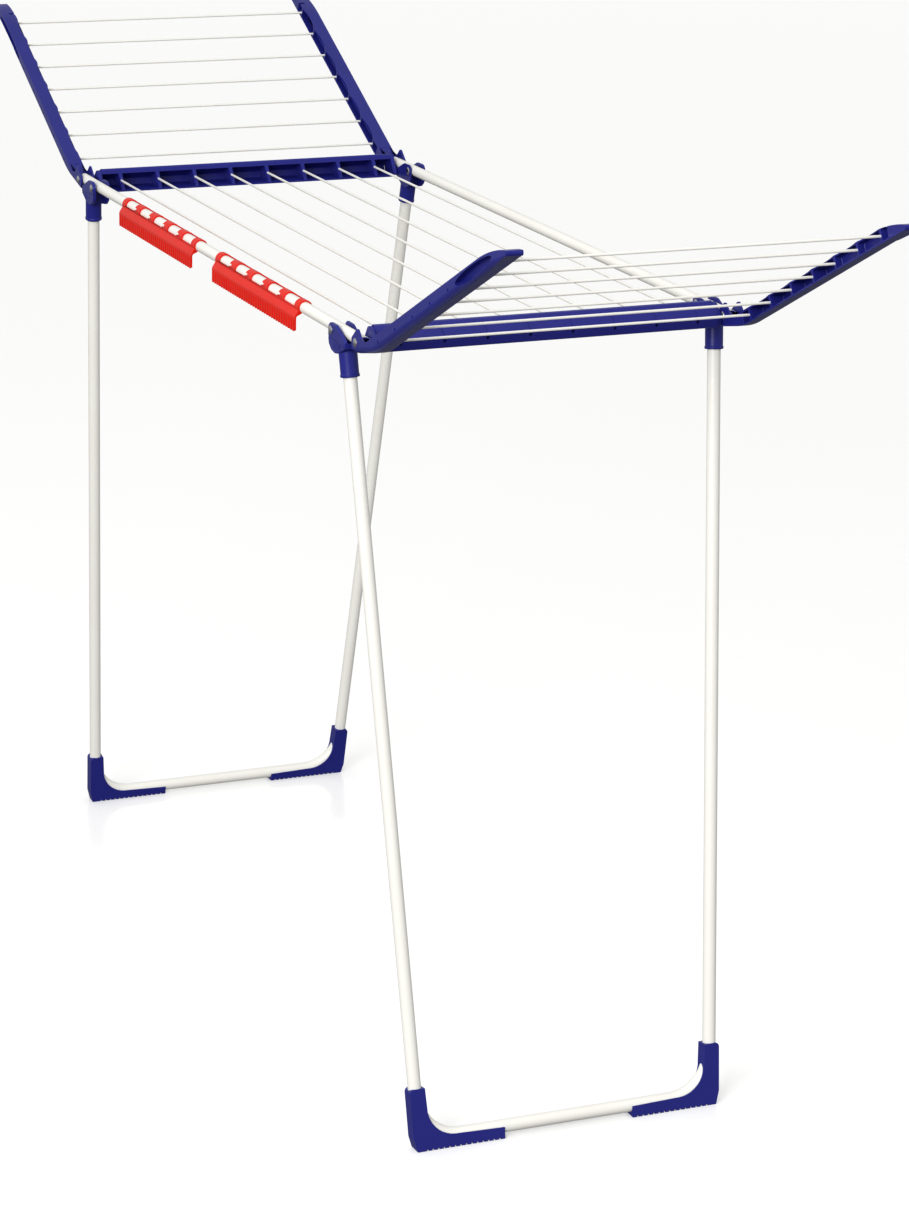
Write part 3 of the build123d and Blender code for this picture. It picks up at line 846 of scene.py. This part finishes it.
class RACK_OT_leg_heads(bpy.types.Operator):
    """Mould the hinge heads with their sleeves"""
    bl_idname = "rack.leg_heads"
    bl_label = "Leg Heads"

    def execute(self, context):
        pivot = Vector((LEG_PIVOT.x, -HEAD_IN, LEG_PIVOT.z))
        corners = [(0, 10), (17, 9.7), (50, -5), (50, -15), (30, -25), (14, -28), (2, -26), (-7.5, -19),
                   (-9.3, -12), (-9.8, -2)]
        radii = [0, 12, 4, 3, 9, 14, 9, 7, 6, 0]
        body = rounded([pivot + Vector((x, 0, z)) for x, z in corners], radii, steps=5)
        head = solid("head", body + arc(pivot, 10, 190, 95, 9), (0, HEAD_IN - HEAD_OUT, 0))
        width = HEAD_OUT - HEAD_IN
        bevel_where(head, lambda place: place.y < -HEAD_OUT + 0.5, 1.6, 3)
        # sleeve with a lip round its mouth
        lip_r = SLEEVE_R + size("lip")
        outline = [(FOOT_R, 0), (SLEEVE_R - 0.2, 0), (lip_r, 0.9), (lip_r, 3.4), (SLEEVE_R - 0.1, 4.4),
                   (SLEEVE_R, SLEEVE_LENGTH), (FOOT_R, SLEEVE_LENGTH)]
        sleeve = lathe("sleeve", outline, MOUTH, LEG_UP, sides=40)
        combine(head, sleeve, operation="UNION")
        combine(head, drum("socket", MOUTH - LEG_UP * 5, MOUTH + LEG_UP * SOCKET, FOOT_R + 0.01, sides=40))
        room = [(490, 1090), (570, 1090), (570, 1061.4), (527.5, 1061.4), (526, 1030), (490, 1030)]
        channel_width = width - 2 * HEAD_CHEEK - 1.6
        combine(head, solid("channel", upright(room, -HEAD_IN - HEAD_CHEEK), (0, -channel_width, 0)))
        # step below the cheek and short upright grooves in the outer face
        crease_centre = (LEG_PIVOT.x + 21, -HEAD_OUT, LEG_PIVOT.z - 11.5)
        combine(head, block("crease", crease_centre, (66, 1.2, 1.4), radians(-4)))
        groove = block("groove", (LEG_PIVOT.x + 12, -HEAD_OUT, LEG_PIVOT.z - 18), (1.3, 1.2, 7.5))
        combine(head, repeat(groove, 4, (7, 0, 0)))
        combine(head, drum("rivet_hole", LEG_PIVOT - Y_AXIS * 300, LEG_PIVOT, 3.06))
        soften(head, size("soft_edge"))
        place_corners(head, "leg_head", "{end}_leg", finish("navy_polypropylene_grained"))
        return {"FINISHED"}


SPLAY_UP = Vector((LEG_UP.x, 0, LEG_UP.z)).normalized()
SPLAY_OUT = Vector((SPLAY_UP.z, 0, -SPLAY_UP.x))
SHOE_WIDTH = 20.6
SHOE_TEETH = 14
TOOTH_START = -102.0
TOOTH_PITCH = 8.0
GROOVE_WIDTH = 2.4


def leg_point(sideways, up, out):
    """Point in the near leg's splayed plane, from the middle of its foot bar."""
    return Vector((FOOT_CORNER.x, 0, FOOT_CORNER.z)) + Y_AXIS * sideways + SPLAY_UP * up + SPLAY_OUT * out


class RACK_OT_shoes(bpy.types.Operator):
    """Mould the shoes that wrap the bends of the legs"""
    bl_idname = "rack.shoes"
    bl_label = "Foot Shoes"

    def execute(self, context):
        half = SHOE_WIDTH / 2
        inner = bow(leg_point(-166, 3, -half), leg_point(-194, 17, -half), leg_point(-204, 44, -half), 10)
        outside = ((-206, 71), (-227.8, 71), (-225.2, 4), (-216, -30), (-94, -30), (-94, 1))
        outer = rounded([leg_point(x, y, -half) for x, y in outside], [0, 0, 10, 0, 0, 0], steps=5)
        shoe = solid("shoe", outer + inner, SPLAY_OUT * SHOE_WIDTH)
        bevel_where(shoe, lambda place: place.y < -221 and place.z > 32, 6.0, 6)
        combine(shoe, block("ground", (FOOT_CORNER.x, 0, -50), (400, 600, 100)))
        tube = sweep("tube_room", leg_route(SOCKET), FOOT_R + 0.02, LEG_BEND, 0, sides=32, bend_steps=18)
        combine(shoe, tube)
        groove = block("groove", (FOOT_CORNER.x, TOOTH_START, 0), (60, GROOVE_WIDTH, 4))
        combine(shoe, repeat(groove, SHOE_TEETH, (0, -TOOTH_PITCH, 0)))
        soften(shoe, size("soft_edge"))
        place_corners(shoe, "foot_shoe", "{end}_leg", finish("navy_polypropylene_grained"))
        return {"FINISHED"}


# ---- rivets -------------------------------------------------------------------------------
RIVET_R = 3.0
RIVET_HEAD_R = 6.0


class RACK_OT_rivets(bpy.types.Operator):
    """Form the rivets of the legs' and the wings' hinges"""
    bl_idname = "rack.rivets"
    bl_label = "Rivets"

    def execute(self, context):
        faces = {"leg": (LEG_PIVOT, HEAD_IN - 0.1, HEAD_OUT + 0.1),
                 "wing": (WING_PIVOT, ARM_IN - 0.1, ARM_OUT + 0.1)}
        for name, (pivot, inner, outer) in faces.items():
            outline = [(0, inner - 1.4), (3.6, inner - 1.4), (5.2, inner - 0.9), (RIVET_HEAD_R, inner),
                       (RIVET_R, inner), (RIVET_R, outer), (RIVET_HEAD_R, outer),
                       (RIVET_HEAD_R, outer + 0.35), (5.4, outer + 1.0), (4.2, outer + 1.6),
                       (2.9, outer + 1.9), (1.5, outer + 2.0), (0, outer + 2.0)]
            left = lathe("rivet", outline, Vector((pivot.x, 0, pivot.z)), -Y_AXIS, sides=32)
            pair = join("rivets", left, mirrored(left, 1, -1))
            for end, sign in ENDS.items():
                finish_piece(mirrored(pair, sign, 1), f"{end}_{name}_rivets", "frame",
                             [f"{end}_{name}_pivot_rivets"], finish("zinc_plated_steel_formed"))
            bpy.data.objects.remove(pair)
        return {"FINISHED"}


# ---- small-item holders -------------------------------------------------------------------
HOLDER_LENGTH = 332.0
HOLDER_STARTS = {"far": -374.0, "near": 48.0}
HOLDER_WINDOWS = 5
HOLDER_BAND = 24.0
RING_IN = RAIL_R + 0.25
RING_OUT = RING_IN + 2.0
PLATE_OUT = 274.0
PLATE_TOP = 1060.0
PLATE_BOTTOM = 1040.5


class RACK_OT_holders(bpy.types.Operator):
    """Mould the two clip-on holders for small items"""
    bl_idname = "rack.holders"
    bl_label = "Small-Item Holders"

    def execute(self, context):
        axis = Vector((0, -RAIL_Y, RAIL_Z))
        up = Vector((0, 0, 1))
        ring = arc(axis, RING_OUT, -16, 196, 30, Y_AXIS, up)
        plate_in = PLATE_OUT - 2.2
        skirt = rounded([ring[-1], Vector((0, -PLATE_OUT, PLATE_TOP - 1)),
                         Vector((0, -PLATE_OUT, PLATE_BOTTOM))], 5, steps=4)
        back = rounded([Vector((0, -plate_in, PLATE_BOTTOM)), Vector((0, -plate_in, PLATE_TOP - 1)),
                        Vector((0, -264, 1062.5))], 4, steps=4)
        hollow = arc(axis, RING_IN, 236, -16, 34, Y_AXIS, up)
        outline = ring + skirt[1:] + back + hollow
        for end, start_x in HOLDER_STARTS.items():
            holder = solid("holder", [point + X_AXIS * start_x for point in outline], X_AXIS * HOLDER_LENGTH)
            self.windows(holder, start_x)
            ribs = block("comb_rib", (start_x + 5, -PLATE_OUT + 0.3, (PLATE_TOP + PLATE_BOTTOM) / 2 - 3.2),
                         (4.2, 2 * size("comb_rib"), PLATE_TOP - PLATE_BOTTOM - 3.6))
            count = bpy.context.scene.rack_sizes.comb_ribs
            ribs = repeat(ribs, count, (HOLDER_LENGTH - 10) / (count - 1) * X_AXIS)
            holder = join("holder", soften(holder, 0.35), soften(ribs, 0.3))
            finish_piece(holder, f"small_item_holder_{end}_moulding", f"holder_{end}",
                         [f"small_item_holder_{end}"], finish("red_polypropylene_satin"))
        return {"FINISHED"}

    def windows(self, holder, start_x):
        """Cut the windows over the rail, each with a slot into the band beside it."""
        pitch = (HOLDER_LENGTH - 8) / HOLDER_WINDOWS
        first = start_x + 4
        opening = block("window", (first + pitch / 2, -RAIL_Y - 3.2, RAIL_Z + 6.5),
                        (pitch - HOLDER_BAND, 20.6, 13))
        slot = block("slot", (first + pitch - HOLDER_BAND / 2 + 3, -RAIL_Y - 8, RAIL_Z + 4), (9, 9, 3.4))
        combine(holder, repeat(opening, HOLDER_WINDOWS, (pitch, 0, 0)))
        combine(holder, repeat(slot, HOLDER_WINDOWS - 1, (pitch, 0, 0)))


# ---- studio -------------------------------------------------------------------------------
class RACK_OT_stage(bpy.types.Operator):
    """Set up the floor, the light and the camera"""
    bl_idname = "rack.stage"
    bl_label = "Studio"

    def execute(self, context):
        view = context.scene.rack_stage
        self.camera(context, view)
        self.floor(context)
        self.surround(context, view.surround)
        self.area("overhead_softbox", (0.6, -0.4, 3.4), (0, 0, 0.9), 2.6, view.softbox * 0.04)
        self.area("front_softbox", (4.2, -4.2, 3.0), (0, 0, 0.9), 3.0, view.softbox)
        context.scene.view_settings.view_transform = "Standard"
        context.scene.view_settings.look = "Medium High Contrast"
        return {"FINISHED"}

    def camera(self, context, view):
        """Camera that looks along the azimuth and elevation, with a roll."""
        level = cos(view.elevation)
        forward = Vector((-sin(view.azimuth) * level, cos(view.azimuth) * level, -sin(view.elevation)))
        right = forward.cross(Vector((0, 0, 1))).normalized()
        up = right.cross(forward)
        rolled_right = right * cos(view.roll) + up * sin(view.roll)
        rolled_up = up * cos(view.roll) - right * sin(view.roll)
        turn = Matrix((rolled_right, rolled_up, -forward)).transposed().to_4x4()
        bpy.ops.object.camera_add()
        camera = bpy.context.object
        camera.name = camera.data.name = "studio_camera"
        camera.matrix_world = Matrix.Translation(view.place) @ turn
        camera.data.sensor_width = 36
        camera.data.sensor_fit = "AUTO"
        camera.data.lens = view.lens
        camera.data.clip_end = 100
        context.scene.camera = camera

    def surround(self, context, strength):
        """White surround that is dimmer below the horizon."""
        world = bpy.data.worlds.new("white_surround")
        world.use_nodes = True
        tree = world.node_tree
        height = add_node(tree, "ShaderNodeSeparateXYZ",
                          {"Vector": add_node(tree, "ShaderNodeTexCoord").outputs["Generated"]})
        level = add_node(tree, "ShaderNodeMapRange", {
            "Value": height.outputs["Z"], "From Min": -0.3, "From Max": 0.0,
            "To Min": strength / 3, "To Max": strength})
        tree.links.new(level.outputs["Result"], tree.nodes["Background"].inputs["Strength"])
        tree.nodes["Background"].inputs["Color"].default_value = (1, 1, 1, 1)
        context.scene.world = world

    def floor(self, context):
        """Large pale floor with a slight gloss, lit from behind like a light table."""
        material, tree = new_tree("pale_studio_floor")
        shader = add_node(tree, "ShaderNodeBsdfPrincipled", {
            "Base Color": linear(context.scene.rack_colours.floor), "Roughness": 0.16, "IOR": 1.45,
            "Emission Color": (1, 1, 1, 1), "Emission Strength": 0.3})
        add_node(tree, "ShaderNodeOutputMaterial", {"Surface": shader.outputs["BSDF"]})
        start_clean()
        bpy.ops.mesh.primitive_plane_add(size=60, location=(0, 0, -0.0005))
        floor = settle("studio_floor")
        floor.data.materials.append(material)
        floor.visible_diffuse = floor.visible_glossy = False

    def area(self, name, place, target, width, power):
        """Square area light that faces a point."""
        start_clean()
        turn = (Vector(target) - Vector(place)).to_track_quat("-Z", "Y").to_euler()
        bpy.ops.object.light_add(type="AREA", location=place, rotation=turn)
        light = bpy.context.object
        light.name = light.data.name = name
        light.data.size = width
        light.data.energy = power


class RACK_PT_panel(bpy.types.Panel):
    """Sidebar panel with the rack's settings and steps"""
    bl_label = "Drying Rack"
    bl_idname = "RACK_PT_panel"
    bl_space_type = "VIEW_3D"
    bl_region_type = "UI"
    bl_category = "Drying Rack"

    def draw(self, context):
        for group in GROUPS:
            column = self.layout.column(align=True)
            for name in GROUPS[group].__annotations__:
                column.prop(getattr(context.scene, group), name)
        column = self.layout.column(align=True)
        for step in STEPS:
            column.operator(step.bl_idname)


GROUPS = {"rack_colours": RackColours, "rack_sizes": RackSizes, "rack_stage": RackStage}
STEPS = (RACK_OT_leg_tubes, RACK_OT_rails, RACK_OT_wires, RACK_OT_wing_arms, RACK_OT_crossbars,
         RACK_OT_brackets, RACK_OT_leg_heads, RACK_OT_shoes, RACK_OT_rivets, RACK_OT_holders, RACK_OT_stage)


def register():
    """Register the classes and hang the settings on the scene."""
    for kind in (*GROUPS.values(), *STEPS, RACK_PT_panel):
        bpy.utils.register_class(kind)
    for name, group in GROUPS.items():
        setattr(bpy.types.Scene, name, bpy.props.PointerProperty(type=group))


def unregister():
    """Take the settings and the classes away again."""
    for name in GROUPS:
        delattr(bpy.types.Scene, name)
    for kind in reversed((*GROUPS.values(), *STEPS, RACK_PT_panel)):
        bpy.utils.unregister_class(kind)


def main():
    """Run all steps in order."""
    register()
    for step in STEPS:
        family, name = step.bl_idname.split(".")
        result = getattr(getattr(bpy.ops, family), name)()
        if "FINISHED" not in result:
            raise RuntimeError(f"{step.bl_idname} did not finish")


if __name__ == "__main__":
    main()
